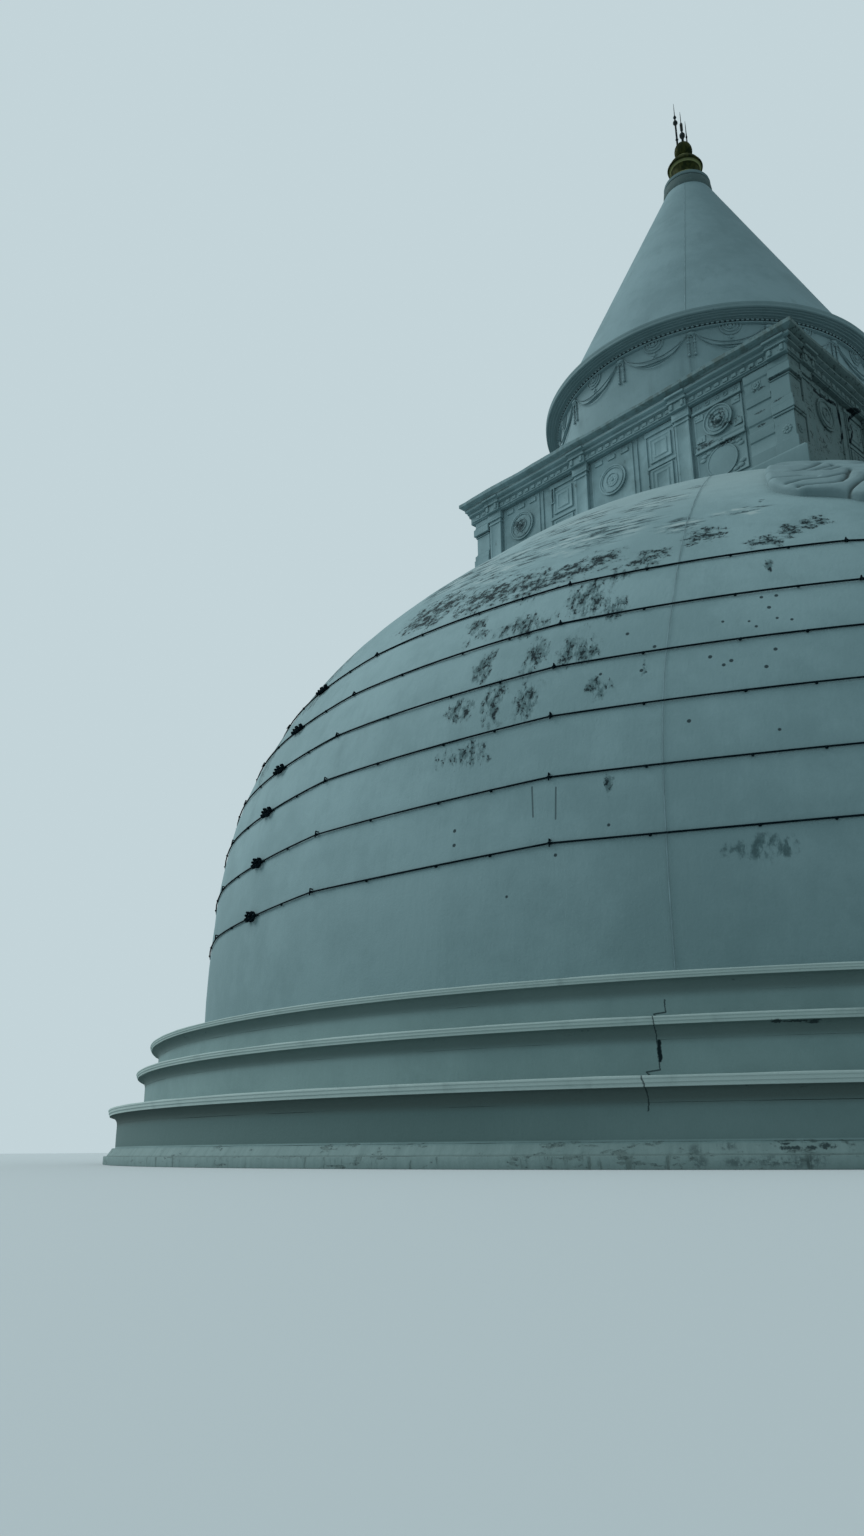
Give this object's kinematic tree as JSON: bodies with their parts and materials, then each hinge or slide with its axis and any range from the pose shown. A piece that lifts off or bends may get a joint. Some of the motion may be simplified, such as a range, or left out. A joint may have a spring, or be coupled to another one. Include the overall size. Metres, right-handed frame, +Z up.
{
  "type": "half-size scale model of a brick stupa",
  "caption": "Whitewashed brick stupa at half size: stepped round base, bubble dome with lamp cables, square panelled box, round drum with garlands, plain cone and gilded pinnacle.",
  "frame": {"origin": "centre of the round base at ground level", "axes": "+Z up along the stupa's axis; the front wall of the square box faces -Y and its right wall faces +X, and the picture looks at the corner between them from the front right"},
  "size_m": [26.25, 26.25, 27.9],
  "materials": {
    "plaster": "lime wash on brick plaster, weathered, grey and peeling in places",
    "gilt": "dull gilding",
    "dark_metal": "dark weathered metal",
    "cable": "black weatherproof cable sheath and lamp holders"
  },
  "bodies": {
    "root": {"footing_step": "plaster", "sloping_plinth": "plaster", "lower_terrace_wall": "plaster", "lower_terrace_cornice": "plaster", "middle_terrace_wall": "plaster", "middle_terrace_cornice": "plaster", "upper_terrace_wall": "plaster", "upper_terrace_cornice": "plaster", "dome": "plaster", "lamp_cable_1": "cable", "lamp_cable_2": "cable", "lamp_cable_3": "cable", "lamp_cable_4": "cable", "lamp_cable_5": "cable", "lamp_cable_6": "cable", "lotus_relief_1": "plaster", "lotus_relief_2": "plaster", "lotus_relief_3": "plaster", "lotus_relief_4": "plaster", "dome_conductor": "dark_metal", "drum_conductor": "dark_metal", "cone_conductor": "dark_metal", "harmika_plinth": "plaster", "harmika_core": "plaster", "harmika_front_wall": "plaster", "harmika_right_wall": "plaster", "harmika_back_wall": "plaster", "harmika_left_wall": "plaster", "harmika_pier_1": "plaster", "harmika_pier_2": "plaster", "harmika_pier_3": "plaster", "harmika_pier_4": "plaster", "harmika_cornice": "plaster", "harmika_roof": "plaster", "drum_foot": "plaster", "drum_wall": "plaster", "garland_band": "plaster", "spire_ring": "plaster", "spire_cone": "plaster", "spire_collar": "plaster", "gilded_bowl": "gilt", "gilded_ball": "gilt", "pinnacle_rod_left": "dark_metal", "pinnacle_rod_middle": "dark_metal", "pinnacle_rod_right": "dark_metal"}
  },
  "joints": []
}
